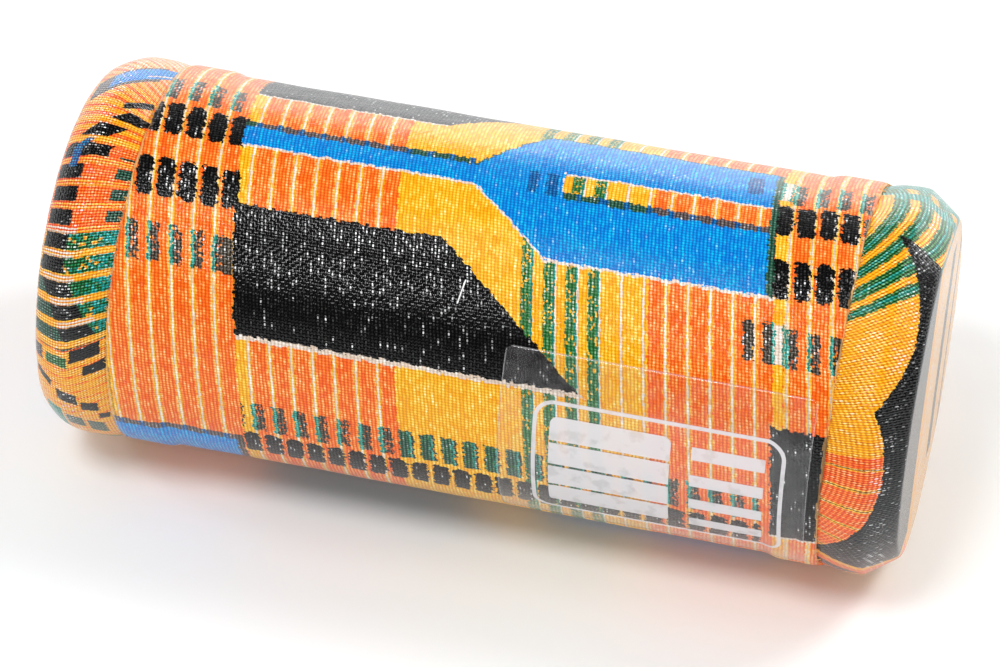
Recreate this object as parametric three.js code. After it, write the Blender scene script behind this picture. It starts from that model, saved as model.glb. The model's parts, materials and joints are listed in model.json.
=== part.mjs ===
// A hand-held tube shaker: a stiff tube with a moulded cap in each end, covered in printed cotton,
// with a clear film label on the front and loose steel shot inside.
// Millimetres. The tube lies along X, +Z is up, and the shaker rests on z = 0, centred on x = 0, y = 0.
import * as THREE from "three";

// Overall sizes
const totalLength = 127;
const rimRadius = 28.4; // outside of the cloth where it goes over the rim of a cap
const facets = 32; // flat sides of every round piece, one of them at the bottom

// Body wrap: one sheet of cotton, wound once round the tube, its last strip over its first
const wrapThickness = 0.5;
const rimStand = 0.2; // how far the rims stand proud of the wrap's raised ends
const wrapRise = 2; // length of the slope up to a raised end
const seamFacets = 2; // width of the overlapping strip, in flat sides
const seamAngle = 219.375; // where the sheet begins, at the back below the middle

// End cloths: a cup of cotton over each cap, tucked under the wrap
const clothThickness = 0.4;
const clothTuck = 8;
const clothBand = 6.6; // straight part that shows beside the wrap
const chamferLength = 4.6; // from the rim to the end face, along X
const chamferDepth = 3.6; // from the rim to the end face, towards the axis

// Tube and caps
const tubeWall = 2.7;
const capBand = 3.4; // straight part of the cap's rim, along X
const capWall = 3;
const capSpigot = 4; // how far the cap reaches into the tube
const capSpigotWall = 2.5;

// Clear film label
const labelLength = 44.9; // along the tube
const labelHeight = 34.2; // round the tube
const labelThickness = 0.1;
const labelInset = 1.7; // from the wrap's right end
const labelTop = 37.4; // degrees above the front

// Shot
const shotDiameter = 6;
const shotGap = 0.3; // running clearance to the tube, the caps and the next ball
const laneLengths = [8, 9, 9, 9, 9]; // balls in each lane, side by side across the bottom of the tube
const laneShares = [0.6, 0.4, 0, 0.6, 0.35]; // where each lane lies in its free travel, from the left
const leadLane = 2; // the lane in the middle, which the lead ball lies in, against the left cap

// Clearances
const glueGap = 0.1; // glue line between the cloths, the tube and the caps
const edgeGap = 0.3; // beside an edge of cloth
const filmGap = 0.05; // adhesive between the label film and the wrap
const capFit = 0.15; // between a cap's spigot and the tube

// Radii, from the outside in
const wrapRadius = rimRadius - rimStand;
const wrapEndInside = wrapRadius - wrapThickness;
const clothRadius = wrapEndInside - glueGap;
const tubeRadius = clothRadius - clothThickness - glueGap;
const tubeBore = tubeRadius - tubeWall;
const wrapInside = tubeRadius + glueGap;
const spigotRadius = tubeBore - capFit;
const spigotBore = spigotRadius - capSpigotWall;

// Places along X, from the middle of the tube
const clothBuild = glueGap + clothThickness; // from a cap to the outside of its cloth
const capFace = totalLength / 2 - clothBuild;
const capCorner = totalLength / 2 - chamferLength;
const wrapEnd = capCorner - clothBand;
const clothEdge = wrapEnd - clothTuck;
const tubeEnd = capCorner - capBand - glueGap;
const spigotEnd = tubeEnd + glueGap - capSpigot;

const axisHeight = rimRadius;
const facetAngle = (2 * Math.PI) / facets;
const narrowestFacet = 0.0001; // radians
const radians = THREE.MathUtils.degToRad;

// From the distance of a flat side to the distance of the polygon at this angle
function polygonRadius(flat, angle) {
  const fromMiddle = angle - Math.round(angle / facetAngle) * facetAngle;
  return flat / Math.cos(fromMiddle);
}

// The corners of the polygon between two angles
function cornersBetween(start, end) {
  const corners = [];
  for (let k = Math.floor(start / facetAngle); k * facetAngle < end; k++) {
    const corner = (k + 0.5) * facetAngle;
    if (corner > start + narrowestFacet && corner < end - narrowestFacet) corners.push(corner);
  }
  return corners;
}

// A full turn of a profile of [x, radius] points round the tube's axis
function turned(profile) {
  const corner = 1 / Math.cos(facetAngle / 2);
  const points = profile.map(([x, radius]) => new THREE.Vector2(radius * corner, x));
  const geometry = new THREE.LatheGeometry(points, facets, facetAngle / 2);
  return geometry.rotateZ(-Math.PI / 2);
}

// A closed strip: the closed profile swept through the angles, each stop with a lift away from the axis.
// Angles count from the front, upwards. The profile runs along +X on its outside.
function sweptStrip(profile, stops) {
  const positions = [];
  for (const { angle, lift } of stops) {
    for (const [x, flat] of profile) {
      const radius = polygonRadius(flat + lift, angle);
      positions.push(x, -radius * Math.cos(angle), radius * Math.sin(angle));
    }
  }
  const count = profile.length;
  const indices = [];
  for (let i = 0; i < stops.length - 1; i++) {
    for (let j = 0; j < count; j++) {
      const here = i * count + j;
      const along = i * count + ((j + 1) % count);
      indices.push(here, along, here + count);
      indices.push(along, along + count, here + count);
    }
  }
  const outline = profile.map(([x, radius]) => new THREE.Vector2(x, radius));
  const lastStop = (stops.length - 1) * count;
  for (const [a, b, c] of THREE.ShapeUtils.triangulateShape(outline, [])) {
    const turn = THREE.ShapeUtils.area([outline[a], outline[b], outline[c]]);
    const [first, second] = turn > 0 ? [b, c] : [c, b];
    indices.push(a, first, second);
    indices.push(lastStop + a, lastStop + second, lastStop + first);
  }
  const geometry = new THREE.BufferGeometry();
  geometry.setAttribute("position", new THREE.Float32BufferAttribute(positions, 3));
  geometry.setIndex(indices);
  geometry.computeVertexNormals();
  return geometry;
}

// An open profile moved outwards by a distance, with its corners kept sharp
function offsetProfile(profile, distance) {
  const normals = profile.slice(1).map(([x, radius], i) => {
    const along = new THREE.Vector2(x - profile[i][0], radius - profile[i][1]).normalize();
    return new THREE.Vector2(-along.y, along.x);
  });
  return profile.map(([x, radius], i) => {
    const before = normals[Math.max(i - 1, 0)];
    const after = normals[Math.min(i, normals.length - 1)];
    const sum = before.clone().add(after);
    const mitre = sum.multiplyScalar((2 * distance) / sum.lengthSq());
    return [x + mitre.x, Math.max(radius + mitre.y, 0)];
  });
}

const materials = {
  tube: new THREE.MeshStandardMaterial({ color: 0xb9b4a8, roughness: 0.7, metalness: 0 }),
  cap: new THREE.MeshStandardMaterial({ color: 0x8f8b84, roughness: 0.6, metalness: 0 }),
  wrap: new THREE.MeshStandardMaterial({ color: 0xef8a26, roughness: 0.45, metalness: 0 }),
  cloth: new THREE.MeshStandardMaterial({ color: 0xf0a02c, roughness: 0.5, metalness: 0 }),
  film: new THREE.MeshStandardMaterial({ color: 0xdfe3e6, roughness: 0.15, metalness: 0 }),
  shot: new THREE.MeshStandardMaterial({ color: 0x9a9c9f, roughness: 0.3, metalness: 1 }),
};

const shaker = new THREE.Group();
shaker.position.z = axisHeight;

function addMesh(name, geometry, material) {
  const mesh = new THREE.Mesh(geometry, material);
  mesh.name = name;
  shaker.add(mesh);
  return mesh;
}

function makeTube() {
  return turned([
    [-tubeEnd, tubeRadius],
    [tubeEnd, tubeRadius],
    [tubeEnd, tubeBore],
    [-tubeEnd, tubeBore],
    [-tubeEnd, tubeRadius],
  ]);
}

// Outside of a left cap, from the middle of its face to its rim
const capRimRadius = rimRadius - clothBuild;
const chamferSlope = chamferDepth / chamferLength;
const capOutside = [
  [-capFace, 0],
  [-capFace, capRimRadius - chamferSlope * (capFace - capCorner)],
  [-capCorner, capRimRadius],
  [-capCorner + capBand, capRimRadius],
];

function makeLeftCap() {
  return turned([
    ...capOutside,
    [-capCorner + capBand, spigotRadius],
    [-spigotEnd, spigotRadius],
    [-spigotEnd, spigotBore],
    [-capFace + capWall, spigotBore],
    [-capFace + capWall, 0],
  ]);
}

// The cloth follows the cap, then comes down to the tube and runs on under the wrap
function makeLeftEndCloth() {
  const core = [
    ...capOutside,
    [-wrapEnd, tubeRadius],
    [-clothEdge, tubeRadius],
  ];
  const outside = offsetProfile(core, clothBuild);
  const inside = offsetProfile(core, glueGap);
  return turned([...outside, ...inside.reverse()]);
}

function wrapLine(middleRadius, endRadius) {
  const riseTop = clothEdge - edgeGap;
  const riseFoot = riseTop - wrapRise;
  return [
    [-wrapEnd, endRadius],
    [-riseTop, endRadius],
    [-riseFoot, middleRadius],
    [riseFoot, middleRadius],
    [riseTop, endRadius],
    [wrapEnd, endRadius],
  ];
}

const wrapOutside = wrapLine(wrapInside + wrapThickness, wrapRadius);

function makeWrap() {
  const start = radians(seamAngle);
  const stops = [];
  for (let k = 0; k <= facets + seamFacets; k++) {
    const lift = k < facets ? 0 : wrapThickness + glueGap;
    stops.push({ angle: start + k * facetAngle, lift });
  }
  const inside = wrapLine(wrapInside, wrapEndInside);
  return sweptStrip([...wrapOutside, ...inside.reverse()], stops);
}

// The film follows the outside of the wrap between its own two ends
function makeLabel() {
  const right = wrapEnd - labelInset;
  const left = right - labelLength;
  const radiusAt = (x) => {
    const next = wrapOutside.findIndex(([pointX]) => pointX >= x);
    const [x0, r0] = wrapOutside[next - 1];
    const [x1, r1] = wrapOutside[next];
    return r0 + ((r1 - r0) * (x - x0)) / (x1 - x0);
  };
  const line = [
    [left, radiusAt(left)],
    ...wrapOutside.filter(([x]) => x > left && x < right),
    [right, radiusAt(right)],
  ];
  const raised = (height) => line.map(([x, radius]) => [x, radius + height]);
  const profile = [...raised(filmGap + labelThickness), ...raised(filmGap).reverse()];
  const top = radians(labelTop);
  const bottom = top - labelHeight / wrapRadius;
  const angles = [bottom, ...cornersBetween(bottom, top), top];
  return sweptStrip(profile, angles.map((angle) => ({ angle, lift: 0 })));
}

// Balls in straight lanes along the bottom of the tube, each lane free to slide on its own
function addShot() {
  const radius = shotDiameter / 2;
  const pitch = shotDiameter + shotGap;
  const laneRadius = tubeBore - shotGap - radius;
  const laneAngle = 2 * Math.asin(pitch / 2 / laneRadius);
  const lastBall = spigotEnd - shotGap - radius;
  const geometry = new THREE.IcosahedronGeometry(radius, 1);
  laneLengths.forEach((count, lane) => {
    const angle = (lane - leadLane) * laneAngle;
    const y = laneRadius * Math.sin(angle);
    const z = -laneRadius * Math.cos(angle);
    const leftmost = lane === leadLane ? -lastBall + pitch : -lastBall;
    const travel = lastBall - leftmost - (count - 1) * pitch;
    const start = leftmost + laneShares[lane] * travel;
    for (let i = 0; i < count; i++) {
      const ball = addMesh(`shot_lane_${lane + 1}_ball_${i + 1}`, geometry, materials.shot);
      ball.position.set(start + i * pitch, y, z);
    }
  });
  const lead = addMesh("shot_lead_ball", geometry, materials.shot);
  lead.position.set(-lastBall, 0, -laneRadius);
}

addMesh("tube", makeTube(), materials.tube);
const capGeometry = makeLeftCap();
addMesh("left_cap", capGeometry, materials.cap);
addMesh("right_cap", capGeometry, materials.cap).rotation.z = Math.PI;
addMesh("body_wrap", makeWrap(), materials.wrap);
const clothGeometry = makeLeftEndCloth();
addMesh("left_end_cloth", clothGeometry, materials.cloth);
addMesh("right_end_cloth", clothGeometry, materials.cloth).rotation.z = Math.PI;
addMesh("label_film", makeLabel(), materials.film);
addShot();

export default shaker;
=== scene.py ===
import json
import math
import random

import bpy
import numpy as np
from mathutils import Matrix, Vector

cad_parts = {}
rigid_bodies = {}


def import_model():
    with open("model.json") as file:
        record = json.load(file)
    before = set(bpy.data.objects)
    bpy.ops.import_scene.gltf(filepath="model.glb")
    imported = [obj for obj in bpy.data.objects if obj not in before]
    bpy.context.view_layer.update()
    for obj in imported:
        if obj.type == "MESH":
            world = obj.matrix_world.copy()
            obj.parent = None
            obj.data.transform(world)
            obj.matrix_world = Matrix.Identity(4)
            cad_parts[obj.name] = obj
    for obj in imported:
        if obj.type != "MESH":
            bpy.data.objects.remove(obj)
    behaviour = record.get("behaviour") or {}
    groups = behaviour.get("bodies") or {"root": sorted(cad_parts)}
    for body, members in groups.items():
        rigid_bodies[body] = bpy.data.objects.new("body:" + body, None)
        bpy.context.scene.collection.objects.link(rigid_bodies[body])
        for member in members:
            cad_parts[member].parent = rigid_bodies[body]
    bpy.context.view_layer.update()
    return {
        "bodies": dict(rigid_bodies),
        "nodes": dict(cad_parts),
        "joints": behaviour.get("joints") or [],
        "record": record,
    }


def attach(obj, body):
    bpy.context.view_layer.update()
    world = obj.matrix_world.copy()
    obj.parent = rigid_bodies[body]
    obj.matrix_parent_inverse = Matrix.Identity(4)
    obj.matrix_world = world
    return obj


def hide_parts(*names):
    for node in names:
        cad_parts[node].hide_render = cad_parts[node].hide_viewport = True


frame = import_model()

# Sizes in millimetres and angles in degrees. Most are as in the part's source, but the sheets are a little
# thinner.
MM = 0.001
AXIS_HEIGHT = 28.4
WRAP_HALF = 52.3
WRAP_RADIUS = 27.7
WRAP_END_RADIUS = 28.2
WRAP_RISE = 2.0
WRAP_RISE_AT = 8.2
WRAP_THICKNESS = 0.45
SEAM_ANGLE = 219.375
SEAM_LAP = 22.5
SEAM_LIFT = 0.55
CLOTH_THICKNESS = 0.35
LOW_SWELL = 0.55
LABEL_LEFT = 5.7
LABEL_RIGHT = 50.6
LABEL_TOP = 37.4
LABEL_HEIGHT = 34.2
LABEL_THICKNESS = 0.07
LABEL_RADIUS = 27.9
LABEL_CORNER = 1.0

# Bubbles under the film, frayed threads along each edge of the wrap, and how far they start inside the edge.
BUBBLES = 26
FRAYS = 130
FRAY_TUCK = 0.35

# The wrap's ripples: height, and the turn of each wave in a millimetre across and in a degree round.
RIPPLES = ((0.03, 0.21, 0.05), (0.025, 0.47, -0.11))

# How many degrees the wrap takes to rise over its own start, and how its outermost strips turn down: from
# what share of its half width, over what share, and how far.
LAP_EASE = 6.0
EDGE_FROM = 0.985
EDGE_SHARE = 0.015
EDGE_DROP = 0.16

# How far the gathers of each end cloth stand out, and how far from the wrap the print of its face starts.
PUCKERS = {"right": 0.07, "left": 0.12}
FACE_FROM = 12.3

# The print is measured down from this angle above the front, and repeats half way round.
PRINT_START_ANGLE = 140.0
PRINT_REPEAT = 88.9
PRINT_LOWEST = -2.0
PRINT_HIGHEST = 90.0
LINE_PITCH = 3.18
PRINT_RADIUS = 28.3
PRINT_TWIST = 0.0065

# How the stripes lean across. All but the slope are in pixels of the wrap rolled out flat, and the first
# value is the size of such a pixel.
ROLLED_PIXEL = 0.07075
LEAN_START = 83.4
LEAN_SLOPE = 0.0534
LEAN_SWING = 79.9
LEAN_MIDDLE = 23.0
SWING_MIDDLE = 583
SWING_LENGTH = 350.6

# The flat round that the right cloth was cut from: how far out in it the wrap's edge lies, how much of it
# each millimetre of the side takes, where the face starts, the face's radius, and the turn of the print.
RIGHT_REACH = 36.9
RIGHT_PULL = 0.7
RIGHT_FACE_FROM = 12.1
RIGHT_FACE_RADIUS = 24.8
RIGHT_TURN = 17.0

# The left cloth's print: its rows' place and pitch in degrees, and the shift and turn of its face's print.
ROW_START = 70.4
ROW_PITCH = 7.16
FACE_SHIFT = 100.0
LEFT_FACE_TURN = 30.0

# Threads of the wrap: how far apart they lie across and down. An end cloth's pitches go along v and u of its
# print, which on the side of the left cloth are degrees and millimetres.
WARP_PITCH = 0.53
WEFT_PITCH = 0.47
RIGHT_PITCHES = (0.42, 0.55)
LEFT_PITCHES = (0.90, 0.50)

# How far the threads' crossings stand up, and how square the printed bars are.
CROWN = 0.45
SQUARENESS = 6.0

# Linear colours: the dyes, then painted glints, painted shade in thread gaps, cut edges and the white fibre.
ORANGE = (0.96, 0.275, 0.040)
AMBER = (0.97, 0.565, 0.036)
YELLOW = (0.95, 0.580, 0.080)
WHITE = (0.84, 0.730, 0.640)
BLUE = (0.0, 0.350, 0.760)
DEEP_BLUE = (0.004, 0.180, 0.440)
BLACK = (0.006, 0.0055, 0.0055)
BROWN = (0.105, 0.085, 0.062)
GREEN = (0.065, 0.255, 0.085)
DARK_GREEN = (0.045, 0.150, 0.100)
TEAL = (0.050, 0.400, 0.330)
GREY = (0.170, 0.140, 0.140)
MESH_GREEN = (0.015, 0.225, 0.075)
MESH_TEAL = (0.010, 0.430, 0.400)

GLINT = (0.97, 0.97, 0.97)
HOLE_SHADE = (0.75, 0.28, 0.20)
CUT_EDGE = (0.90, 0.50, 0.18)
FIBRE_WHITE = (1.0, 1.0, 1.0)

# The photograph's camera: its place from the tube's middle in metres, its angles in degrees, and its lens.
CAMERA_PLACE = (0.10959, -0.44247, 0.46441)
CAMERA_TILT = 44.19
CAMERA_TURN = 14.0
CAMERA_LENS = 159.4

# The soft boxes: name, direction from the tube, then distance, width and height in metres, and radiance.
LAMPS = (
    ("key", (-0.169, -0.41, 0.895), 1.0, 0.26, 0.26, 21.0),
    ("right", (0.56, 0.36, 0.745), 1.0, 0.30, 0.30, 15.0),
    ("left", (-0.818, -0.053, 0.581), 1.0, 0.12, 0.12, 14.0),
    ("back", (0.05, 1.0, 0.04), 1.3, 2.2, 0.20, 8.0),
)


class Tree:
    """The nodes of one material or world, with a short call for each kind of node it uses."""

    def __init__(self, owner):
        owner.use_nodes = True
        self.tree = owner.node_tree
        self.tree.nodes.clear()

    def add(self, kind, **settings):
        node = self.tree.nodes.new(kind)
        for name, value in settings.items():
            setattr(node, name, value)
        return node

    def feed(self, socket, value):
        if isinstance(value, Value):
            value = value.socket
        if isinstance(value, bpy.types.NodeSocket):
            self.tree.links.new(value, socket)
        elif isinstance(value, tuple) and socket.type == "RGBA":
            socket.default_value = (*value, 1.0)
        else:
            socket.default_value = value

    def math(self, operation, *values):
        node = self.add("ShaderNodeMath", operation=operation)
        for socket, value in zip(node.inputs, values):
            self.feed(socket, value)
        return Value(self, node.outputs[0])

    def mix(self, below, above, share, blend="MIX", clamp=False):
        node = self.add("ShaderNodeMix", data_type="RGBA", blend_type=blend, clamp_result=clamp)
        self.feed(node.inputs["Factor"], share)
        self.feed(node.inputs[6], below)
        self.feed(node.inputs[7], above)
        return node.outputs[2]

    def place(self):
        """The place in the object's own frame, in metres."""
        return self.add("ShaderNodeTexCoord").outputs["Object"]

    def gamma(self, colour, power):
        node = self.add("ShaderNodeGamma")
        self.feed(node.inputs["Color"], colour)
        self.feed(node.inputs["Gamma"], power)
        return node.outputs[0]

    def vector(self, x, y, z=0.0):
        node = self.add("ShaderNodeCombineXYZ")
        for socket, value in zip(node.inputs, (x, y, z)):
            self.feed(socket, value)
        return node.outputs[0]

    def parts(self, vector):
        node = self.add("ShaderNodeSeparateXYZ")
        self.feed(node.inputs[0], vector)
        return [Value(self, socket) for socket in node.outputs]

    def uv(self):
        return self.parts(self.add("ShaderNodeUVMap", uv_map="cloth").outputs[0])

    def noise(self, vector, scale, detail=2.0):
        node = self.add("ShaderNodeTexNoise")
        self.feed(node.inputs["Vector"], vector)
        self.feed(node.inputs["Scale"], scale)
        self.feed(node.inputs["Detail"], detail)
        return Value(self, node.outputs["Fac"])

    def chance(self, x, y):
        """An even random number from 0 to 1 for each whole-numbered cell."""
        node = self.add("ShaderNodeTexWhiteNoise", noise_dimensions="2D")
        self.feed(node.inputs["Vector"], self.vector(x.math("FLOOR"), y.math("FLOOR")))
        return Value(self, node.outputs["Value"])

    def rounded(self, u, v, left, right, top, bottom, corner):
        """1 inside a rectangle with round corners."""
        beside = (u - (left + right) / 2).math("ABSOLUTE") - ((right - left) / 2 - corner)
        beyond = (v - (top + bottom) / 2).math("ABSOLUTE") - ((bottom - top) / 2 - corner)
        beside = beside | 0.0
        beyond = beyond | 0.0
        return (beside * beside + beyond * beyond) < corner * corner

    def output(self, shader, kind="ShaderNodeOutputMaterial"):
        node = self.add(kind)
        self.feed(node.inputs["Surface"], shader)


class Value:
    """A number in a node tree, which plain arithmetic joins with others."""

    def __init__(self, tree, socket):
        self.tree = tree
        self.socket = socket

    def math(self, operation, *others):
        return self.tree.math(operation, self, *others)

    def __add__(self, other):
        return self.math("ADD", other)

    def __sub__(self, other):
        return self.math("SUBTRACT", other)

    def __rsub__(self, other):
        return self.tree.math("SUBTRACT", other, self)

    def __mul__(self, other):
        return self.math("MULTIPLY", other)

    def __truediv__(self, other):
        return self.math("DIVIDE", other)

    def __gt__(self, other):
        return self.math("GREATER_THAN", other)

    def __lt__(self, other):
        return self.math("LESS_THAN", other)

    def __or__(self, other):
        return self.math("MAXIMUM", other)

    def past(self, half):
        """Under 1 nearer than that half width, and rising steeply past it."""
        return (self / half).math("ABSOLUTE").math("POWER", SQUARENESS)

    def between(self, low, high):
        return self.math("COMPARE", (low + high) / 2, (high - low) / 2)

    def ramp(self, low, high, to_low=0.0, to_high=1.0):
        node = self.tree.add("ShaderNodeMapRange")
        for socket, value in zip(node.inputs, (self, low, high, to_low, to_high)):
            self.tree.feed(socket, value)
        return Value(self.tree, node.outputs[0])


def new_material(name):
    material = bpy.data.materials.new(name)
    return material, Tree(material)


def principled(tree, colour, roughness, **inputs):
    node = tree.add("ShaderNodeBsdfPrincipled")
    tree.feed(node.inputs["Base Color"], colour)
    tree.feed(node.inputs["Roughness"], roughness)
    for name, value in inputs.items():
        tree.feed(node.inputs[name.replace("_", " ")], value)
    return node.outputs[0]


def bump(tree, height, distance):
    node = tree.add("ShaderNodeBump")
    tree.feed(node.inputs["Height"], height)
    tree.feed(node.inputs["Distance"], distance)
    tree.feed(node.inputs["Strength"], 1.0)
    return node.outputs[0]


# The weave

def weave(across, down):
    """A plain weave: its threads' height, and a share from gaps to tops for painted shade and light."""
    warp = (across * math.pi).math("COSINE")
    weft = (down * math.pi).math("COSINE")
    over = warp * weft * CROWN
    side = warp.math("ABSOLUTE")
    height = (side + over) | (weft.math("ABSOLUTE") * 0.72 - over)
    rise = side * 0.35 + weft.math("ABSOLUTE") * 0.25 + height * 0.45
    return height, rise


def nearly(tree, u, v):
    """The place in the print with only a slight raggedness, for thin lines that lie along single threads."""
    grain = tree.chance(u / WARP_PITCH * 2.0 + 7.0, v / WEFT_PITCH) - 0.5
    return u + grain * 0.22


def ragged(tree, u, v, amount=0.3):
    """The place in the print that each crossing shows, a little off its own, as dye lies on real threads."""
    across = u / WARP_PITCH
    down = v / WEFT_PITCH
    along = tree.chance(down, across / 5.0) - 0.5
    beside = tree.chance(across + 0.5, down / 4.0 + 90.0) - 0.5
    grain = tree.chance(across * 2.0, down * 2.0) - 0.5
    ragged_u = u + along * amount * 1.4 + grain * amount * 0.8
    ragged_v = v + beside * amount * 1.4 + grain * amount * 0.7
    return ragged_u, ragged_v


def printed_cloth(name, draw, pitches=(WARP_PITCH, WEFT_PITCH), end=False, ridge_at=59.0):
    """Printed, lacquered plain-weave cotton, whose print is painted by draw.

    The threads that show most run down the print. On an end cloth they run across it, the weave is
    pulled open with painted shade in its gaps, and painted glints lie along the ridge. On the wrap a band
    near the top gets more painted glints, where the key lamp's highlight falls, and the cut edges are pale.
    """
    material, tree = new_material(name)
    u, v, _ = tree.uv()
    first, second = (v, u) if end else (u, v)
    place = tree.place()
    out = tree.parts(place)[0].math("ABSOLUTE") / MM
    sway = tree.noise(place, 260.0, 1.0) - 0.5
    jitter = tree.noise(place, 800.0, 1.0) - 0.5
    across = first / pitches[0] + sway * 0.55 + jitter * 0.35
    down = second / pitches[1] + sway * 0.5
    height, rise = weave(across, down)

    # A float is the length of thread that shows between two of its crossings. Each has its own tone and tilt.
    column = (across + 0.5).math("FLOOR")
    along = down + column
    tone = tree.chance(across + 0.5, along / 2.0 + 0.5)
    spark = tree.chance(across + 60.5, along / 2.0 + 0.5)
    thread = tree.chance(across + 0.5, down / 15.0)
    top = height.ramp(1.14, 1.32) if end else height.ramp(0.98, 1.24)

    # Gaps darker and more saturated, tops paler: painted shade and painted light, partly dye lying deeper.
    colour = draw(tree, *ragged(tree, u, v, 0.16 if end else 0.3), nearly(tree, u, v))
    deep, thin, dim = (2.30, 0.72, 0.80) if end else (1.75, 0.86, 0.80)
    red, green, blue = tree.parts(colour)
    vivid = red | blue | (green * 2.0)
    uneven = (tone - 0.5) * 0.85 + (thread - 0.5) * 0.25
    colour = tree.gamma(colour, rise.ramp(0.45, 1.15, deep, thin) - uneven * rise * vivid)
    # Painted shade: the colour is multiplied darker in the gaps than on the tops.
    lit = rise.ramp(0.35, 1.00, dim, 1.03)
    colour = tree.mix(colour, tree.vector(lit, lit, lit), 1.0, "MULTIPLY", clamp=True)
    # Painted glints, partly white specks of undyed thread, on the tops of chosen floats, in patches. A band
    # near the top of the wrap gets more of them, where the key lamp's highlight falls.
    sheen = tree.noise(place, 40.0, 1.0).ramp(0.38, 0.60, 0.4, 1.0)
    key_glint_band = v.ramp(34.0, 37.5) * v.ramp(43.0, 50.0, 1.0, 0.0) * (0.0 if end else 0.17)
    chosen = (spark + thread * 0.10 + key_glint_band).ramp(0.94, 1.03) | (spark.ramp(0.35, 1.0) * 0.06)
    glint_and_speck = chosen * top * sheen * (1.0 - vivid * 0.92)
    if end:
        # Painted glints along the ridge over the cap's edge, in patches.
        ridge = (1.0 - ((out - ridge_at) / 1.5).math("ABSOLUTE")) | 0.0
        patch = tree.noise(place, 190.0, 2.0).ramp(0.42, 0.56, 0.05, 1.0)
        ridge_glints = spark.ramp(0.45, 0.65, 0.0, 1.0) * ridge.ramp(0.0, 0.35) * patch
        glint_and_speck = glint_and_speck | (ridge_glints * height.ramp(1.02, 1.22))
        # Painted shade in the gaps of the pulled-open weave, at chosen floats.
        gap_shade_mask = rise.ramp(0.45, 0.85, 1.0, 0.0) * tone.ramp(0.52, 0.75, 0.0, 0.95)
        colour = tree.mix(colour, HOLE_SHADE, gap_shade_mask, "MULTIPLY")
    else:
        pale = (out + (tone - 0.5) * 0.3 > WRAP_HALF - 0.22) * thread.ramp(0.2, 0.8, 0.2, 0.75)
        colour = tree.mix(colour, CUT_EDGE, pale)
    # Paint the glints and specks in near white.
    colour = tree.mix(colour, GLINT, glint_and_speck)

    pits = tree.noise(place, 1500.0, 2.0)
    lean = (across * math.tau).math("SINE") * (tone - 0.5) * 0.5
    pitch = (along * math.pi).math("SINE") * (spark - 0.5) * 0.6
    relief = height + lean + pitch + pits * 0.3
    under = bump(tree, relief, 0.080 * MM)
    lacquer = bump(tree, relief, 0.042 * MM)
    rough = height.ramp(0.2, 1.1, 0.72, 0.50)
    shader = principled(
        tree, colour, rough, Normal=under, Coat_Weight=0.75 if end else 0.58, Coat_Roughness=0.06,
        Coat_Normal=lacquer, Specular_IOR_Level=0.05, Sheen_Weight=0.35, Sheen_Roughness=0.25,
    )
    tree.output(shader)
    return material


# The print of the body wrap, in millimetres across from the middle and down from its start

class Print:
    """Paints shapes one over another."""

    def __init__(self, tree, colour):
        self.tree = tree
        self.colour = colour

    def paint(self, colour, mask):
        self.colour = self.tree.mix(self.colour, colour, mask)

    def block(self, colour, u, v, left, right, top, bottom):
        self.paint(colour, u.between(left, right) * v.between(top, bottom))


# Single dashes and blocks of the wrap's print: left, right, top and bottom.
WHITE_DASHES = ((-37.6, -36.6, 42.4, 47.7), (40.5, 41.5, 14.1, 19.5), (40.5, 41.6, 41.4, 47.2))
BROWN_DASHES = ((-39.65, -38.1, 42.4, 47.7), (38.7, 40.1, 41.4, 47.2), (35.9, 37.4, 41.4, 47.2))
DEEP_BLUE_DASHES = ((4.1, 5.4, 22.4, 27.0), (6.7, 8.4, 22.4, 27.0), (35.2, 37.4, 14.1, 19.1))


def speckle(tree, u, v, share):
    """1 in that share of the half-thread cells, chosen at random."""
    return tree.chance(u / WARP_PITCH * 2.0 + 31.0, v / WEFT_PITCH * 1.4) < share


def wrap_ground(tree, u, fine, broken):
    """The stripes that run round the tube under everything else, and the distance from the nearest line."""
    origin = (u > -38.4) * 4.80 + (u > 15.0) * 0.58 + (u > 40.1) * 1.40 - 40.9
    offset = (u - origin).math("WRAP", LINE_PITCH / 2, -LINE_PITCH / 2)
    line = (fine - origin).math("WRAP", LINE_PITCH / 2, -LINE_PITCH / 2)
    plain = u.between(-38.1, -36.3) | u.between(-14.4, 22.3) | u.between(40.2, 41.8)
    art = Print(tree, tree.mix(ORANGE, AMBER, plain))
    bare = u.between(-15.2, 16.9)
    lined = 1.0 - bare
    art.paint(YELLOW, line.between(-0.36, 0.40) * lined)
    art.paint(WHITE, line.between(-0.15, 0.12) * lined)
    step = (fine - 4.03).math("WRAP", 3.22, 0.0)
    green = u.between(3.9, 15.6)
    art.paint(GREEN, step.between(0.0, 1.40) * green * broken)
    art.paint(TEAL, step.between(1.40, 1.68) * green)
    art.paint(WHITE, step.between(1.70, 1.92) * green * (u > 6.0))
    return art, offset, plain


def paint_dashes(art, u, v, offset, broken):
    """Short teal and brown dashes beside the lines, and green ones on plain amber."""
    sides = (u < -38.9) | (u > 41.4)
    rows = v.between(14.4, 20.3) | v.between(42.0, 47.5)
    art.paint(TEAL, offset.between(-0.20, 0.28) * sides * rows)
    art.paint(BROWN, offset.between(0.28, 1.55) * sides * rows * broken)
    middle = u.between(-38.0, 38.3) * v.between(67.9, 73.9)
    art.paint(BROWN, offset.between(0.28, 1.55) * middle * broken)
    art.paint(TEAL, offset.between(-0.35, 0.28) * middle)
    green = (u + 14.5).math("WRAP", LINE_PITCH, 0.0)
    amber = u.between(-15.2, 16.5) * middle
    art.paint(GREEN, green.between(0.0, 1.5) * amber)
    art.paint(DARK_GREEN, green.between(0.0, 1.5) * amber * broken)
    art.paint(TEAL, green.between(1.5, 1.85) * amber)
    for left, right, top, bottom in WHITE_DASHES:
        art.block(TEAL, u, v, left - 0.45, right + 0.35, top, bottom)
        art.block(WHITE, u, v, left, right, top, bottom)
    for left, right, top, bottom in BROWN_DASHES:
        art.block(BROWN, u, v, left, right, top, bottom)


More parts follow.
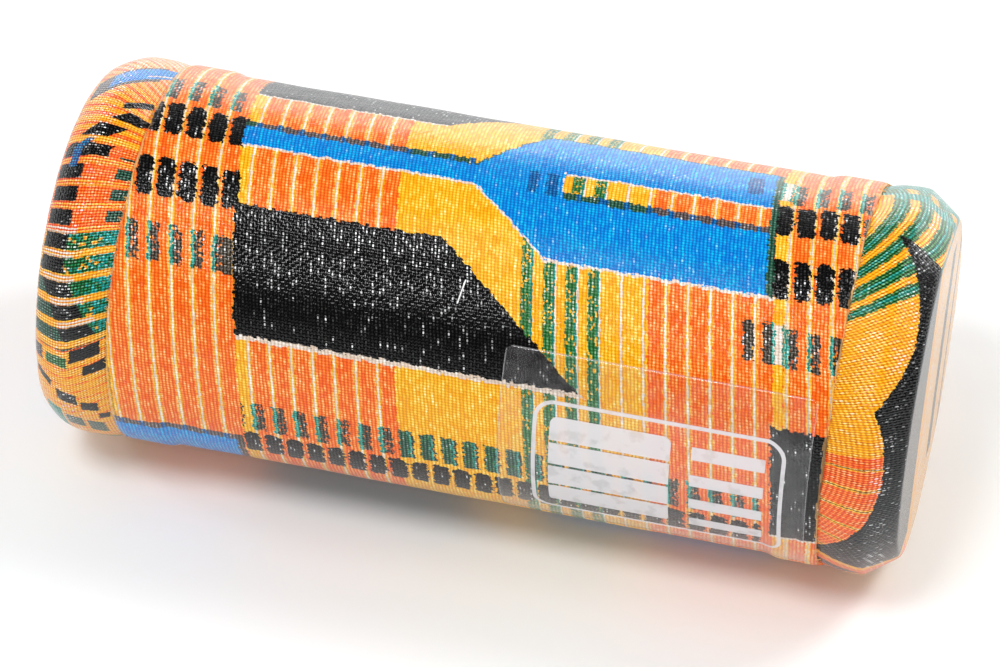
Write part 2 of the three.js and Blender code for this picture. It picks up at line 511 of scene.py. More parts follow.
def paint_bars(art, u, v, offset):
    """The black bars of both side fields and of the row along the lower edge."""
    place = (offset + LINE_PITCH).math("WRAP", 0.42, 0.42 - LINE_PITCH)
    tick = art.tree.chance(v / WEFT_PITCH, u / LINE_PITCH + 40.0).ramp(0.45, 0.9, 0.0, 0.30)
    wide = (place + 1.17).past(tick + 1.14)
    sides = (u < -37.6) | (u > 39.7)
    tilt = (u > 0.0) * 0.5
    for middle in (24.55, 35.05):
        tall = (v + tilt - middle).past(3.08)
        art.paint(BLACK, ((wide + tall) < 1.0) * sides)
    low = (u + 38.1).math("WRAP", 3.14, 0.0)
    wide = (low - 1.2).past(tick + 1.18)
    tall = (v - 78.1).past(3.3)
    art.paint(BLACK, ((wide + tall) < 1.0) * u.between(-38.2, 38.3))


def overprint(art, mask, offset, plain):
    """A strip where two dyes lie over each other: grey over orange, green over amber, blue over a line."""
    tree = art.tree
    both = tree.mix(tree.mix(GREY, DARK_GREEN, plain), DEEP_BLUE, offset.between(-0.35, 0.35))
    art.paint(both, mask)


def paint_blue(art, u, v, ground, offset, plain):
    """The blue arrow, its overprinted edge, and the notch in it that shows the ground."""
    tree = art.tree
    top = (u * -1.175 + 19.0).math("MAXIMUM", 11.95).math("MINIMUM", 23.35)
    bottom = (u * 0.973 + 30.5).math("MAXIMUM", 26.9).math("MINIMUM", 37.6)
    long = u.between(-38.0, 39.1)
    over = (v - top).between(-1.25, 0.0)
    overprint(art, over * u.between(-38.0, -3.9), offset, plain)
    art.paint(DARK_GREEN, (v - top).between(-0.40, 0.05) * u.between(-4.2, 40.1))
    art.paint(WHITE, (v - bottom).between(0.0, 0.45) * u.between(-38.0, 40.1))
    art.paint(BLUE, (v > top) * (v < bottom) * long)
    art.block(DARK_GREEN, u, v, 39.1, 40.1, 12.0, 37.6)
    for left, right, high, low in DEEP_BLUE_DASHES:
        art.block(DEEP_BLUE, u, v, left, right, high, low)
    notch = u.between(9.13, 39.1)
    art.paint(ground, notch * v.between(21.9, 26.0))
    art.paint(WHITE, notch * v.between(21.85, 22.25))
    overprint(art, notch * v.between(26.0, 27.3), offset, plain)


def paint_black(art, u, v):
    """The two large black blocks, each with one slanted end, the block at the right, and a white fibre."""
    field = u.between(-38.06, 40.0)
    upper = field * ((v * 0.971 + u) < 4.26)
    art.paint(BLACK, upper * v.between(-8.0, 13.94))
    art.paint(WHITE, upper * v.between(13.94, 14.34))
    lower = field * ((v * -1.0296 + u) < -45.45)
    art.paint(BLACK, lower * v.between(37.0, 56.25))
    art.paint(WHITE, lower * v.between(56.25, 56.95))
    art.block(BLACK, u, v, 39.8, 60.0, 56.1, 76.4)
    art.block(WHITE, u, v, 39.8, 60.0, 76.4, 76.9)
    straight_u, straight_v, _ = art.tree.uv()
    fibre = straight_u + (straight_v - 44.4) * 0.34
    art.paint(FIBRE_WHITE, fibre.between(-4.62, -4.42) * straight_v.between(42.6, 46.2))


def draw_wrap(tree, u, v, fine):
    """The whole print, which shows again on the far half of the tube."""
    v = v + (v < PRINT_LOWEST) * PRINT_REPEAT - (v > PRINT_HIGHEST) * PRINT_REPEAT
    broken = speckle(tree, fine, v, 0.87)
    art, offset, plain = wrap_ground(tree, u, fine, broken)
    art.paint(AMBER, u < -57.0)
    art.paint(BROWN, u.between(-57.75, -57.45) * 0.35)
    ground = art.colour
    paint_dashes(art, u, v, offset, broken)
    paint_bars(art, u, v, offset)
    paint_blue(art, u, v, ground, offset, plain)
    paint_black(art, u, v)
    corner = u.between(-60.0, -39.4)
    overprint(art, corner * v.between(76.4, 78.1), offset, plain)
    art.paint(BLUE, corner * v.between(78.1, 95.0))
    art.block(BROWN, u, v, -39.4, -38.3, 76.4, 95.0)
    return art.colour


# The prints of the two end cloths

def draw_right_end(tree, u, v, fine):
    """u and v are places on the flat round of cloth, turned so that its stripes run along u."""
    art = Print(tree, tree.mix(AMBER, ORANGE, v < 3.4))
    step = (v - 0.9).math("WRAP", 4.1, 0.0)
    art.paint(YELLOW, step.between(0.0, 0.75) * (v < 1.5))
    art.paint(BROWN, step.between(0.30, 0.45) * (v < 1.5))
    art.paint(GREEN, v.between(25.6, 60.0))
    for middle, half in ((27.5, 0.48), (30.4, 0.52), (33.0, 0.50)):
        art.paint(AMBER, v.between(middle - half, middle + half))
    for middle in (26.3, 28.9, 31.7, 34.2):
        art.paint(TEAL, v.between(middle - 0.22, middle + 0.22))
    art.paint(TEAL, u.between(-40.0, -3.0) * v.between(25.6, 60.0) * (1.0 - u.between(-9.0, -6.0)))
    art.paint(AMBER, u.between(-5.0, 30.0) * (v > 35.2))
    far = (u + 2.4).math("WRAP", LINE_PITCH, 0.0)
    beyond = (u < 8.8) * v.between(-60.0, 25.6)
    # Painted reflection: the amber here is mixed with white for the bright surroundings the end catches at a
    # grazing angle.
    art.paint(tree.mix(AMBER, WHITE, 0.42), beyond)
    art.paint(YELLOW, far.between(0.0, 0.85) * beyond)
    art.paint(WHITE, far.between(0.25, 0.60) * beyond)
    art.paint(AMBER, u.between(3.8, 8.8) * v.between(-60.0, 25.6))
    art.block(BLACK, u, v, -12.5, -8.2, -18.0, 21.0)
    art.block(GREY, u, v, -21.0, -19.5, -24.0, 24.0)
    block = u.between(8.8, 30.7) * ((u + v) < 41.6)
    art.paint(BLACK, block * (v > -22.6))
    art.paint(AMBER, block * v.between(-23.6, -22.6))
    art.paint(GREY, u.between(20.0, 33.0) * v.between(-28.5, -25.5))
    return art.colour


# The left cloth's lowest marks: colour, how far from the wrap, highest and lowest angle, and slant.
LOW_MARKS = (
    (GREEN, 6.0, 9.6, 7.6, 3.8, 0.0),
    (GREY, 10.4, 12.6, 8.6, 3.4, 0.0),
    (BLACK, 1.0, 5.6, 15.9, 11.4, -1.15),
    (BLACK, 0.1, 3.6, 10.0, 6.2, -1.15),
    (BLACK, 9.0, 11.8, -3.6, -6.8, 1.2),
    (BLACK, 5.1, 8.2, -7.4, -12.2, 0.3),
    (BLACK, 1.9, 4.6, -9.6, -13.9, -0.2),
    (BLACK, 0.4, 2.2, -14.8, -17.8, -0.5),
    (DARK_GREEN, 5.0, 7.6, -20.5, -28.0, 0.3),
    (DARK_GREEN, 1.8, 4.4, -22.0, -31.0, 0.3),
    (TEAL, 8.0, 10.6, -17.0, -46.0, 0.3),
    (GREEN, 1.0, 5.0, -38.0, -44.0, 0.3),
    (BLACK, 1.0, 6.0, -50.0, -56.0, 0.3),
)


def draw_left_end(tree, u, v, fine):
    """On the side, u is the distance from the wrap and v an angle that follows the pulled stripes.

    On the face, u is the place across it plus FACE_SHIFT, and v the place up it.
    """
    face = u > FACE_SHIFT / 2
    art = Print(tree, tree.mix(ORANGE, AMBER, v.between(-80.0, 47.0)))
    _, y, z = tree.parts(tree.place())
    turn = (z - AXIS_HEIGHT * MM).math("ARCTAN2", y * -1.0) * (180.0 / math.pi)
    turn = turn + (tree.chance(v / 0.9, u) - 0.5) * 0.4
    row = (v - ROW_START).math("WRAP", ROW_PITCH, 0.0)
    start = 7.3 - ((36.0 - v) * 0.25).math("MAXIMUM", (v - 74.0) * 0.55).math("MAXIMUM", 0.0)
    depth = u - start
    streak = (v - 98.0).math("WRAP", 3.6, 0.0)
    art.paint(AMBER, streak.between(0.0, 1.9) * (v > 75.0))
    art.paint(YELLOW, streak.between(0.0, 1.1) * (v > 92.0))
    art.paint(WHITE, (v - 98.4).math("WRAP", 3.6, 0.0).between(0.0, 0.6) * (v > 104.0))
    mesh = row.between(0.4, 5.3) * (depth < 0.4) * v.between(-40.0, 48.0)
    teal_share = u.ramp(0.5, 4.5, 0.62, 0.10)
    art.paint(MESH_GREEN, mesh * (tree.chance(u / 0.45, v / 0.9) < 0.86))
    art.paint(MESH_TEAL, mesh * (tree.chance(u / 0.45, v / 0.9 + 50.0) < teal_share))
    art.paint(DARK_GREEN, row.between(0.8, 5.3) * (depth > 4.6) * v.between(-80.0, 38.0))
    art.paint(DARK_GREEN, row.between(0.8, 4.6) * (u < 2.3) * v.between(48.0, 72.0))
    art.paint(BLACK, row.between(0.5, 5.2) * depth.between(0.0, 4.6) * (v > 2.0) * (v < 92.0))
    lower = u - (v + 3.0) * 0.5 - 8.0
    art.paint(BLACK, row.between(0.5, 5.2) * lower.between(0.0, 4.5) * v.between(-26.0, 1.0))
    art.paint(YELLOW, row.between(5.45, 6.0) | row.between(6.5, 7.0))
    double = row.between(5.30, 5.95) | row.between(6.45, 7.0)
    art.paint(WHITE, double * depth.between(-1.2, 4.2) * v.between(15.0, 53.0))
    art.paint(DEEP_BLUE, depth.between(1.2, 2.7) * v.between(67.5, 77.0))
    art.paint(BLACK, depth.between(-3.2, 0.2) * v.between(71.2, 75.2))

    # These marks lie across the stripes, so they go by the angle round the tube.
    art.paint(BLACK, u.between(0.4, 4.6) * (turn + u * 0.5).between(91.6, 94.4))
    patch = turn + u * 1.25
    art.paint(GREY, patch.between(108.0, 118.5) * u.between(1.5, 11.0))
    art.paint(BLUE, patch.between(109.8, 117.5) * (u < 8.5))
    art.paint(WHITE, patch.between(111.2, 112.0) * u.between(0.3, 3.5))
    leaning = turn + u.math("MINIMUM", 6.5) * 1.15
    low = leaning < 17.5
    lines = leaning.math("WRAP", 3.4, 0.0)
    art.paint(AMBER, low)
    art.paint(YELLOW, lines.between(1.6, 2.3) * low)
    art.paint(ORANGE, lines.between(0.0, 0.45) * low)
    for colour, left, right, top, bottom, slant in LOW_MARKS:
        art.paint(colour, u.between(left, right) * (turn - (u - left) * slant).between(bottom, top))
    x = u - FACE_SHIFT
    flat = Print(tree, tree.mix(AMBER, ORANGE, v.between(-16.0, 12.0)))
    line = (x + 1.0).math("WRAP", LINE_PITCH, 0.0)
    flat.paint(YELLOW, line.between(0.0, 0.85) * v.between(-16.0, 12.0))
    flat.paint(WHITE, line.between(0.25, 0.60) * v.between(-16.0, 12.0))
    flat.paint(GREEN, (v - 13.5).math("WRAP", 3.2, 0.0).between(0.0, 1.7) * (v > 13.0))
    flat.paint(BLACK, line.between(0.75, 3.1) * (v.between(-12.0, -6.0) | v.between(-1.5, 4.5)))
    flat.paint(BLUE, x.between(-40.0, 3.0) * v.between(-28.0, -18.5))
    art.paint(flat.colour, face)
    return art.colour


# Meshes

def new_object(name, points, faces, material, uvs):
    """Points are in millimetres with the tube's axis at height 0; uvs are one pair for each face corner."""
    mesh = bpy.data.meshes.new(name)
    places = np.asarray(points, float).copy()
    places[:, 2] += AXIS_HEIGHT
    mesh.from_pydata((places * MM).tolist(), [], faces)
    layer = mesh.uv_layers.new(name="cloth")
    layer.data.foreach_set("uv", np.asarray(uvs, np.float32).ravel())
    mesh.polygons.foreach_set("use_smooth", [True] * len(mesh.polygons))
    mesh.materials.append(material)
    mesh.update()
    thing = bpy.data.objects.new(name, mesh)
    bpy.context.scene.collection.objects.link(thing)
    return thing


def grid_faces(rows, columns, closed=False, start=0, flip=False):
    """The quads of a grid of points stored row by row; closed joins the last row to the first."""
    faces = []
    for row in range(rows if closed else rows - 1):
        after = (row + 1) % rows
        for column in range(columns - 1):
            quad = [
                start + row * columns + column,
                start + row * columns + column + 1,
                start + after * columns + column + 1,
                start + after * columns + column,
            ]
            faces.append(quad[::-1] if flip else quad)
    return faces


def sheet_faces(rows, columns):
    """The faces of a sheet with two sides and four rims: first its outer points, then as many inner ones."""
    count = rows * columns
    faces = grid_faces(rows, columns) + grid_faces(rows, columns, start=count, flip=True)
    rim = [row * columns + columns - 1 for row in range(rows)]
    rim += [(rows - 1) * columns + column for column in range(columns - 2, -1, -1)]
    rim += [row * columns for row in range(rows - 2, -1, -1)]
    rim += list(range(1, columns))
    for here, after in zip(rim, rim[1:]):
        faces.append([after, here, here + count, after + count])
    return faces


def smooth_noise(seed, count, periodic=False, waves=6):
    """A gentle random curve of that many samples, between about -1 and 1."""
    maker = np.random.default_rng(seed)
    turn = np.linspace(0, 2 * np.pi, count, endpoint=not periodic)
    total = np.zeros(count)
    for wave in range(1, waves + 1):
        total += np.sin(wave * turn + maker.uniform(0, 2 * np.pi)) * maker.uniform(0.4, 1.0) / math.sqrt(wave)
    return total / np.abs(total).max()


def eased(share):
    """A share between 0 and 1, made to start and end softly."""
    return share * share * (3 - 2 * share)


def round_tube(x, radius, turn):
    """Points at those places along the tube, that far from its axis and at that angle above the front."""
    return np.stack([x, -radius * math.cos(turn), radius * math.sin(turn)], -1)


def wrap_radius(x):
    """The outside of the wrap: level in the middle, raised where its ends lie on the end cloths."""
    rise = np.clip((np.abs(x) - (WRAP_HALF - WRAP_RISE_AT)) / WRAP_RISE, 0, 1)
    return WRAP_RADIUS + (WRAP_END_RADIUS - WRAP_RADIUS) * eased(rise)


def print_lean(down):
    """How far across the print's stripes lean at each distance down, in millimetres."""
    y = down / ROLLED_PIXEL
    swing = np.clip((y - SWING_MIDDLE) / SWING_LENGTH, -math.pi / 2, math.pi / 2)
    return (LEAN_START - LEAN_SLOPE * y + LEAN_SWING * np.sin(swing) - LEAN_MIDDLE) * ROLLED_PIXEL


def wrap_uv(x, angle):
    """Where a point of the wrap lies in the print. The angle runs on past a whole turn."""
    down = (PRINT_START_ANGLE + 360.0 - angle) * math.pi / 180 * PRINT_RADIUS
    return x - print_lean(down), down + PRINT_TWIST * x


def make_wrap(material):
    """One sheet wound once round the tube, its last part lying over its first."""
    rows = 330
    columns = 121
    angles = np.linspace(SEAM_ANGLE, SEAM_ANGLE + 360.0 + SEAM_LAP, rows)
    share = np.linspace(-1, 1, columns)
    left_edge = 0.20 * smooth_noise(3, rows, waves=40) + 0.10 * smooth_noise(4, rows, waves=9)
    right_edge = 0.20 * smooth_noise(5, rows, waves=40) + 0.12 * smooth_noise(6, rows, waves=9)
    lap = eased(np.clip((angles - (SEAM_ANGLE + 360.0) + LAP_EASE / 2) / LAP_EASE, 0, 1))
    points = []
    inner = []
    uvs = np.zeros((rows, columns, 2))
    for row, angle in enumerate(angles):
        half_left = WRAP_HALF + left_edge[row]
        half_right = WRAP_HALF + right_edge[row]
        x = np.where(share < 0, share * half_left, share * half_right)
        edge = np.clip((np.abs(share) - EDGE_FROM) / EDGE_SHARE, 0, 1)
        radius = wrap_radius(x) + SEAM_LIFT * lap[row] - EDGE_DROP * edge * edge
        wave = sum(height * np.sin(x * across + angle * around) for height, across, around in RIPPLES)
        a = math.radians(angle)
        for out, store in ((radius + wave, points), (radius + wave - WRAP_THICKNESS, inner)):
            store.extend(round_tube(x, out, a))
        uvs[row, :, 0], uvs[row, :, 1] = wrap_uv(x, angle)
    count = rows * columns
    faces = sheet_faces(rows, columns)
    flat = uvs.reshape(-1, 2)
    corners = [flat[index % count] for face in faces for index in face]
    return new_object("cotton_wrap", points + inner, faces, material, corners)


# The outline of each end cloth, from under the wrap to the middle of its face: the distance from the tube's
# middle, and the radius.
END_PROFILES = {
    "right": (
        (44.6, 27.62), (49.0, 27.62), (51.6, 27.62), (52.5, 27.75), (53.6, 28.0), (55.0, 28.28),
        (56.6, 28.38), (57.9, 28.38), (58.7, 28.30), (59.25, 27.95), (60.3, 27.2), (61.7, 26.15),
        (62.9, 25.28), (63.35, 24.85), (63.5, 24.35), (63.5, 23.2), (63.5, 18.0), (63.47, 13.0),
        (63.44, 8.0), (63.42, 4.0), (63.42, 0.05),
    ),
    "left": (
        (44.6, 27.62), (49.0, 27.62), (51.6, 27.62), (52.5, 27.80), (53.6, 28.08), (55.0, 28.34),
        (56.4, 28.40), (57.7, 28.40), (58.9, 28.25), (60.1, 27.85), (61.4, 27.25), (62.6, 26.50),
        (63.5, 25.65), (64.0, 24.70), (64.15, 23.5), (64.15, 22.0), (64.1, 18.0), (64.0, 13.0),
        (63.9, 8.0), (63.85, 4.0), (63.85, 0.05),
    ),
}


def smooth_line(corners, rounds=2):
    """The line through those corners with each corner cut off again and again."""
    line = np.asarray(corners, float)
    for _ in range(rounds):
        first = line[:-1] * 0.75 + line[1:] * 0.25
        second = line[:-1] * 0.25 + line[1:] * 0.75
        line = np.concatenate([line[:1], np.stack([first, second], 1).reshape(-1, 2), line[-1:]])
    return line


# How the left cloth's stripes lean: at each angle, the degrees they turn in a millimetre away from the wrap.
STRIPE_ANGLES = (-43, -30, -10, 20, 45, 60, 80, 90, 100, 137)
STRIPE_LEANS = (-2.1, -2.0, -1.7, -0.85, -0.6, -0.3, 0.2, 0.6, 1.5, 2.4)
STRIPE_MIDDLE = 47.0
STRIPE_DEPTH = 6.0
BEND_FROM = 5.5
BEND_WIDTH = 3.0
LEAN_ROUNDS = 12


def left_end_uv(depth, angle):
    """The left cloth's coordinates: its stripes lean more and more away from the middle of the front.

    Past a quarter turn from that middle the stripes are shown again the other way round. Below the middle
    they stop leaning where the cloth turns over the ridge.
    """
    turn = (angle - STRIPE_MIDDLE + 180.0) % 360.0 - 180.0
    turn = math.copysign(min(abs(turn), 180.0 - abs(turn)), turn)
    over = min(max(depth - BEND_FROM, 0.0), BEND_WIDTH)
    bent = min(depth, BEND_FROM + BEND_WIDTH) - over ** 2 / (2 * BEND_WIDTH)
    line = STRIPE_MIDDLE + turn
    for _ in range(LEAN_ROUNDS):
        lean = np.interp(line, STRIPE_ANGLES, STRIPE_LEANS)
        line = STRIPE_MIDDLE + turn - lean * ((depth if lean > 0 else bent) - STRIPE_DEPTH)
    return depth, line


def right_end_uv(depth, angle):
    """The right cloth's coordinates: places on the flat round it was cut from."""
    side = RIGHT_REACH - RIGHT_PULL * depth
    face_reach = RIGHT_REACH - RIGHT_PULL * RIGHT_FACE_FROM
    face = face_reach * (1 - (depth - RIGHT_FACE_FROM) / RIGHT_FACE_RADIUS)
    reach = np.where(depth < RIGHT_FACE_FROM, side, face)
    turn = math.radians(angle - RIGHT_TURN)
    return reach * math.cos(turn), reach * math.sin(turn)


def make_end_cloth(side, material):
    """A round of cloth pulled over the cap, from under the wrap to the middle of the end."""
    name = side + "_cotton_end"
    sign = 1 if side == "right" else -1
    line = smooth_line(END_PROFILES[side])
    steps = np.hypot(*np.diff(line, axis=0).T)
    depth = np.concatenate([[0], np.cumsum(steps)])
    depth -= np.interp(WRAP_HALF, line[:, 0][: len(line) // 2], depth[: len(line) // 2])
    tangent = np.gradient(line, axis=0)
    tangent /= np.linalg.norm(tangent, axis=1)[:, None]
    normal = np.stack([-tangent[:, 1], tangent[:, 0]], -1)
    rows = 288
    columns = len(line)
    pucker = smooth_noise(11 if sign > 0 else 12, rows, periodic=True, waves=34)
    broad = smooth_noise(21 if sign > 0 else 22, rows, periodic=True, waves=7)
    where = np.clip((depth - 0.5) / 4.0, 0, 1) * np.clip((16.0 - depth) / 6.0, 0, 1)
    gather = np.clip((depth - 5.0) / 4.0, 0, 1) * np.clip((18.0 - depth) / 6.0, 0, 1)
    points = []
    inner = []
    for row in range(rows):
        angle = row * 360.0 / rows
        a = math.radians(angle)
        push = where * PUCKERS[side] * (pucker[row] + 0.6 * broad[row] * np.cos(depth * 0.4))
        if sign < 0:
            below = (angle + 25.0 + 180.0) % 360.0 - 180.0
            push = push + LOW_SWELL * math.exp(-(below / 24.0) ** 2) * gather
        for gap, store in ((0.0, points), (-CLOTH_THICKNESS, inner)):
            x = line[:, 0] + normal[:, 0] * (push + gap)
            radius = np.maximum(line[:, 1] + normal[:, 1] * (push + gap), 0.05)
            store.extend(round_tube(sign * x, radius, a))
    count = rows * columns
    faces = grid_faces(rows, columns, closed=True, flip=sign < 0)
    faces += grid_faces(rows, columns, closed=True, start=count, flip=sign > 0)
    for row in range(rows):
        here = row * columns
        after = ((row + 1) % rows) * columns
        quad = [here, after, after + count, here + count]
        faces.append(quad if sign > 0 else quad[::-1])
        middle = [corner + columns - 1 for corner in quad]
        faces.append(middle[::-1] if sign > 0 else middle)
    flat_corners = []
    cache = {}
    for face in faces:
        columns_here = [(index % count) % columns for index in face]
        rows_here = [(index % count) // columns for index in face]
        on_face = sum(depth[column] for column in columns_here) / 4 > FACE_FROM
        for column, row in zip(columns_here, rows_here):
            key = (column, row, on_face)
            if key not in cache:
                angle = row * 360.0 / rows
                if sign > 0:
                    cache[key] = right_end_uv(depth[column], angle)
                elif on_face:
                    turn = math.radians(angle - LEFT_FACE_TURN)
                    out = line[column, 1]
                    cache[key] = (FACE_SHIFT + out * math.cos(turn), out * math.sin(turn))
                else:
                    cache[key] = left_end_uv(depth[column], angle)
            flat_corners.append(cache[key])
    return new_object(name, points + inner, faces, material, flat_corners)


def make_label(material, underside):
    """A thin sheet of film that follows the wrap, with small corners and a few bubbles under it."""
    rows = 96
    columns = 121
    maker = np.random.default_rng(31)
    bubbles = []
    for _ in range(BUBBLES):
        across = maker.uniform(LABEL_LEFT + 2, LABEL_RIGHT - 2)
        bubbles.append((across, maker.uniform(2, LABEL_HEIGHT - 2), maker.uniform(0.25, 0.7)))
    points = []
    inner = []
    spots = []
    for row in range(rows):
        down = row / (rows - 1) * LABEL_HEIGHT
        near = min(down, LABEL_HEIGHT - down)
        cut = 0.0
        if near < LABEL_CORNER:
            cut = LABEL_CORNER - math.sqrt(max(LABEL_CORNER ** 2 - (LABEL_CORNER - near) ** 2, 0))
        x = np.linspace(LABEL_LEFT + cut, LABEL_RIGHT - cut, columns)
        radius = wrap_radius(x) + 0.10
        for bubble_x, bubble_down, size in bubbles:
            away = np.hypot(x - bubble_x, down - bubble_down) / size
            radius = radius + 0.05 * np.exp(-away ** 3)
        a = math.radians(LABEL_TOP) - down / LABEL_RADIUS
        for out, store in ((radius, points), (radius - LABEL_THICKNESS, inner)):
            store.extend(round_tube(x, out, a))
        spots.extend(np.stack([x - LABEL_LEFT, np.full_like(x, down)], -1))
    count = rows * columns
    faces = [face[::-1] for face in sheet_faces(rows, columns)]
    corners = [spots[index % count] for face in faces for index in face]
    label = new_object("clear_label", points + inner, faces, material, corners)
    label.data.materials.append(underside)
    top_faces = (rows - 1) * (columns - 1)
    for polygon in label.data.polygons[top_faces:]:
        polygon.material_index = 1
    return label


def film_material():
    """Clear film: hazy where it doesn't touch the cloth, with a plain white frame, panel and bars on it."""
    material, tree = new_material("label_film_clear")
    u, v, _ = tree.uv()
    place = tree.place()
    blotch = tree.noise(place, 420.0, 3.0)
    spots = tree.noise(place, 900.0, 1.0)
    haze = blotch.ramp(0.36, 0.58, 0.015, 0.050) - (spots > 0.64) * 0.03
    rim = 1.0 - u.between(0.18, LABEL_RIGHT - LABEL_LEFT - 0.18) * v.between(0.18, LABEL_HEIGHT - 0.18)
    frame = tree.rounded(u, v, 5.0, 41.5, 7.0, 30.0, 3.0) - tree.rounded(u, v, 5.6, 40.9, 7.6, 29.4, 2.4)
    panel = tree.rounded(u, v, 7.5, 25.0, 9.5, 27.5, 1.2) * ((v - 9.5).math("WRAP", 4.5, 0.0) < 4.05)
    bars = u.between(28.0, 38.6) * ((v - 10.4).math("WRAP", 4.9, 0.0) < 2.2) * v.between(10.4, 27.5)
    wear = blotch.ramp(0.34, 0.46, 0.66, 0.78)
    share = haze | (rim * 0.22) | ((frame | panel | bars) * wear)
    wavy = bump(tree, blotch + spots * 0.4, 0.05 * MM)
    body = principled(tree, (0.86, 0.83, 0.85), 0.5, Normal=wavy, Alpha=share, Specular_IOR_Level=0.0)
    gloss = tree.add("ShaderNodeBsdfAnisotropic")
    tree.feed(gloss.inputs["Roughness"], 0.14)
    tree.feed(gloss.inputs["Normal"], wavy)
    facing = Value(tree, tree.add("ShaderNodeLayerWeight").outputs["Facing"])
    mirrored = facing.math("POWER", 5.0) * 0.96 + 0.04
    both = tree.add("ShaderNodeMixShader")
    for socket, value in zip(both.inputs, (mirrored, body, gloss.outputs[0])):
        tree.feed(socket, value)
    tree.output(both.outputs[0])
    return material


def glue_material():
    """The film's underside, which is clear."""
    material, tree = new_material("label_glue_clear")
    place = tree.place()
    trace = tree.noise(place, 600.0, 2.0).ramp(0.3, 0.7, 0.0, 0.03)
    tree.output(principled(tree, (0.88, 0.88, 0.87), 0.5, Alpha=trace, Specular_IOR_Level=0.0))
    return material


# Hidden pieces

def board_material():
    """Spiral-wound board."""
    material, tree = new_material("wound_board")
    place = tree.place()
    x, y, z = tree.parts(place)
    fibre = tree.noise(place, 900.0, 4.0)
    band = (x * 60.0 + (z * 60.0)).math("FRACT")
    colour = tree.mix((0.36, 0.24, 0.14), (0.46, 0.33, 0.20), fibre)
    colour = tree.mix(colour, (0.24, 0.15, 0.09), (band < 0.03) * 0.8)
    tree.output(principled(tree, colour, 0.85, Normal=bump(tree, fibre, 0.05 * MM)))
    return material


def cap_material():
    """Moulded grey plastic with a fine matt grain."""
    material, tree = new_material("moulded_cap")
    place = tree.place()
    grain = tree.noise(place, 1800.0, 3.0)
    colour = tree.mix((0.10, 0.10, 0.105), (0.14, 0.14, 0.145), grain)
    rough = grain.ramp(0.3, 0.7, 0.42, 0.55)
    tree.output(principled(tree, colour, rough, Normal=bump(tree, grain, 0.03 * MM)))
    return material


def shot_material():
    """Rolled steel shot with fine scuffs."""
    material, tree = new_material("rolled_shot")
    place = tree.place()
    scuff = tree.noise(place, 2400.0, 4.0)
    colour = tree.mix((0.42, 0.43, 0.44), (0.60, 0.60, 0.61), scuff)
    rough = scuff.ramp(0.3, 0.7, 0.20, 0.42)
    tree.output(principled(tree, colour, rough, Metallic=1.0, Normal=bump(tree, scuff, 0.02 * MM)))
    return material


# Threads

def make_frays(side, material):
    """Loose thread ends along the wrap's cut edge, lying on the end cloth."""
    maker = random.Random(7 if side == "left" else 8)
    sign = -1 if side == "left" else 1
    points = []
    faces = []
    corners = []
    for _ in range(FRAYS):
        angle = maker.uniform(0, 360)
        length = maker.uniform(0.2, 0.6)
        bend = maker.uniform(-1.6, 1.6)
        thick = maker.uniform(0.07, 0.12)
        start = len(points)
        spot = wrap_uv(sign * (WRAP_HALF - 0.3), angle + (360.0 if angle < SEAM_ANGLE else 0.0))
        for step in range(4):
            share = step / 3
            x = sign * (WRAP_HALF - FRAY_TUCK + (length + FRAY_TUCK) * share)
            a = math.radians(angle + bend * share * share)
            middle = WRAP_END_RADIUS - 0.12 - 0.22 * share
            for turn in range(4):
                swing = turn * math.pi / 2
                out = middle + thick * (1 - 0.5 * share) * math.cos(swing)
                spin = a + thick * (1 - 0.5 * share) * math.sin(swing) / 28.0
                points.append((x, -out * math.cos(spin), out * math.sin(spin)))
        for step in range(3):
            for turn in range(4):
                here = start + step * 4 + turn
                beside = start + step * 4 + (turn + 1) % 4
                quad = [here, beside, beside + 4, here + 4]
                faces.append(quad if sign > 0 else quad[::-1])
                corners.extend([spot] * 4)
        first = [start, start + 1, start + 2, start + 3]
        last = [start + 12, start + 13, start + 14, start + 15]
        faces.append(first[::-1] if sign > 0 else first)
        faces.append(last if sign > 0 else last[::-1])
        corners.extend([spot] * 8)
    return new_object(side + "_edge_threads", points, faces, material, corners)


# Stage

def add_camera():
    """The photograph's camera: 45.8 degrees up and 14 degrees round from the front."""
    data = bpy.data.cameras.new("camera")
    data.lens = CAMERA_LENS
    data.sensor_width = 36.0
    camera = bpy.data.objects.new("camera", data)
    camera.rotation_euler = (math.radians(CAMERA_TILT), 0.0, math.radians(CAMERA_TURN))
    x, y, z = CAMERA_PLACE
    camera.location = (x, y, z + AXIS_HEIGHT * MM)
    bpy.context.scene.collection.objects.link(camera)
    bpy.context.scene.camera = camera


def add_floor():
    """A plain white sweep of paper, which stays white to the camera away from the object."""
    material, tree = new_material("paper")
    place = tree.place()
    tone = tree.noise(place, 3.0, 2.0).ramp(0.3, 0.7, 0.965, 0.985)
    colour = tree.vector(tone * 0.955, tone * 0.985, tone * 0.995)
    path = tree.add("ShaderNodeLightPath")
    seen = Value(tree, path.outputs["Is Camera Ray"]) | Value(tree, path.outputs["Is Glossy Ray"])
    away = tree.add("ShaderNodeVectorMath", operation="LENGTH")
    tree.feed(away.inputs[0], place)
    far = Value(tree, away.outputs["Value"]).ramp(0.15, 1.2, 0.0, 0.6)
    shader = principled(
        tree, colour, 0.9, Specular_IOR_Level=0.0,
        Emission_Color=(1.0, 1.0, 1.0), Emission_Strength=seen * far,
    )
    tree.output(shader)
    mesh = bpy.data.meshes.new("floor")
    mesh.from_pydata([(-6, -6, 0), (6, -6, 0), (6, 6, 0), (-6, 6, 0)], [], [(0, 1, 2, 3)])
    mesh.materials.append(material)
    floor = bpy.data.objects.new("floor", mesh)
    bpy.context.scene.collection.objects.link(floor)


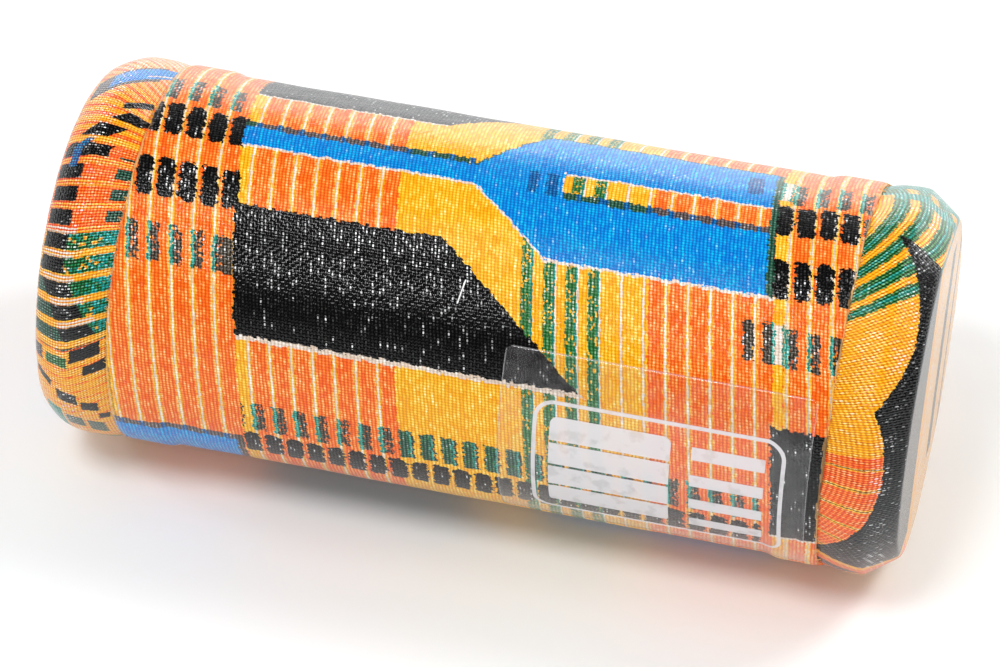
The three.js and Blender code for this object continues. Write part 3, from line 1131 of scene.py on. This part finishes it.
def add_lamp(name, direction, distance, width, height, radiance):
    """A soft box that points at the tube from that direction."""
    data = bpy.data.lights.new(name, "AREA")
    data.shape = "RECTANGLE"
    data.size = width
    data.size_y = height
    data.energy = radiance * math.pi * width * height
    lamp = bpy.data.objects.new(name, data)
    towards = Vector(direction).normalized()
    lamp.location = towards * distance + Vector((0, 0, AXIS_HEIGHT * MM))
    lamp.rotation_euler = towards.to_track_quat("Z", "Y").to_euler()
    lamp.visible_camera = False
    bpy.context.scene.collection.objects.link(lamp)


def add_world():
    """White to the camera and a plain light elsewhere. Reflections see a bright horizon behind the tube."""
    world = bpy.data.worlds.new("studio")
    bpy.context.scene.world = world
    tree = Tree(world)
    path = tree.add("ShaderNodeLightPath")
    seen = Value(tree, path.outputs["Is Camera Ray"])
    mirrored = Value(tree, path.outputs["Is Glossy Ray"])
    direction = tree.add("ShaderNodeTexCoord").outputs["Generated"]
    _, depth, height = tree.parts(direction)
    horizon = height.ramp(0.0, 0.20, 5.0, 0.0) * depth.ramp(-0.4, 0.1, 0.0, 1.0) + 0.03
    level = horizon * mirrored + (1.0 - mirrored) * depth.ramp(-1.0, 0.2, 0.66, 0.50)
    strength = level * (1.0 - seen) + seen
    background = tree.add("ShaderNodeBackground")
    tree.feed(background.inputs["Color"], (1.0, 1.0, 1.0))
    tree.feed(background.inputs["Strength"], strength)
    tree.output(background.outputs[0], "ShaderNodeOutputWorld")


def build():
    scene = bpy.context.scene
    scene.view_settings.view_transform = "Standard"
    add_camera()
    add_floor()
    add_world()
    for lamp in LAMPS:
        add_lamp(*lamp)

    wrap_cloth = printed_cloth("wrap_print", draw_wrap)
    right_cloth = printed_cloth("right_end_print", draw_right_end, RIGHT_PITCHES, end=True, ridge_at=60.4)
    left_cloth = printed_cloth("left_end_print", draw_left_end, LEFT_PITCHES, end=True)
    wrap = make_wrap(wrap_cloth)
    right = make_end_cloth("right", right_cloth)
    left = make_end_cloth("left", left_cloth)
    label = make_label(film_material(), glue_material())
    threads = [make_frays("left", wrap_cloth), make_frays("right", wrap_cloth)]
    for piece, node, slot in (
        (wrap, "body_wrap", "printed_cotton"),
        (right, "right_end_cloth", "printed_cotton"),
        (left, "left_end_cloth", "printed_cotton"),
        (label, "label_film", "clear_film"),
    ):
        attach(piece, "shell")
        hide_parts(node)
    for piece in threads:
        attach(piece, "shell")

    board, cap, shot = board_material(), cap_material(), shot_material()
    for name, node in frame["nodes"].items():
        if name.startswith("shot_"):
            finish = shot
        elif name.endswith("_cap"):
            finish = cap
        else:
            finish = board
        for place in node.material_slots:
            place.material = finish


build()
